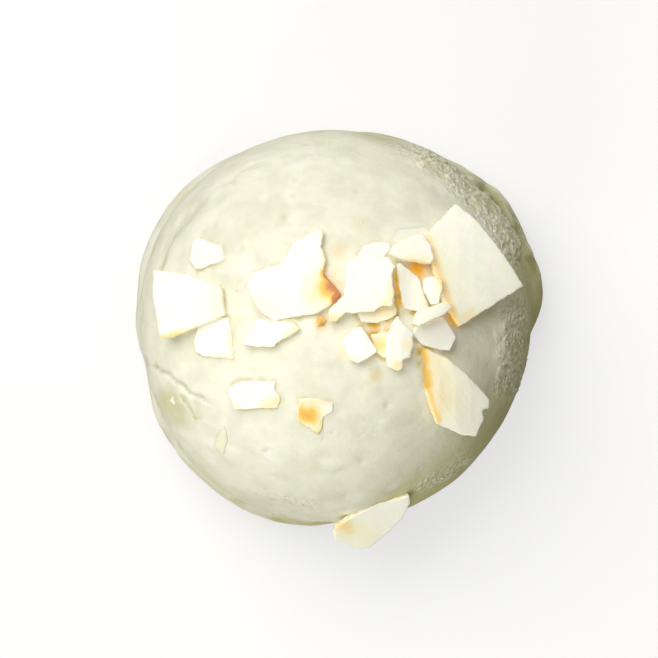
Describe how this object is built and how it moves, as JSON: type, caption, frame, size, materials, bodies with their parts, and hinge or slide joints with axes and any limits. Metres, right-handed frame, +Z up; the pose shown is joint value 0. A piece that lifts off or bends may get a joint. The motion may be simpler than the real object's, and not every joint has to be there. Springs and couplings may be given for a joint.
{
  "type": "scoop of coconut ice cream",
  "caption": "Scoop of pale coconut ice cream on a flat foot, with a ragged skirt and a loose heap of toasted coconut chips on its top.",
  "frame": {"origin": "centre of the flat foot, on the surface that the scoop stands on", "axes": "+Z up through the top of the dome, -Y towards the chip that stands out of the scoop's side, +X towards the largest flat chip"},
  "size_m": [0.0718, 0.0718, 0.0494],
  "materials": {
    "ice_cream": "soft, slightly translucent, with fine frost and spoon drag marks",
    "coconut_chip": "satin, waxy, with toasted orange patches at some edges",
    "toasted_crumb": "matte, toasted golden brown"
  },
  "bodies": {
    "root": {"back_crumb": "toasted_crumb", "back_sliver": "coconut_chip", "back_triangle": "coconut_chip", "back_veil": "coconut_chip", "boat_chip": "coconut_chip", "bright_square": "coconut_chip", "corner_shard": "coconut_chip", "crown_shard": "coconut_chip", "gold_crumb": "toasted_crumb", "grey_slab": "coconut_chip", "heap_crumb": "toasted_crumb", "ice_cream_scoop": "ice_cream", "leaf_chip": "coconut_chip", "left_crumb": "toasted_crumb", "left_shard": "coconut_chip", "long_blade": "coconut_chip", "low_block": "coconut_chip", "low_crumb": "toasted_crumb", "low_wedge": "coconut_chip", "narrow_slip": "coconut_chip", "rim_blade": "coconut_chip", "side_crumb": "toasted_crumb", "small_fan": "coconut_chip", "small_tab": "coconut_chip", "sunken_flake": "coconut_chip", "sunken_pale_flake": "coconut_chip", "sunken_seed_flake": "coconut_chip", "toasted_nib": "coconut_chip", "tucked_square": "coconut_chip", "under_nib": "coconut_chip", "under_slip": "coconut_chip", "upper_crumb": "toasted_crumb", "wide_wing": "coconut_chip"}
  },
  "joints": []
}
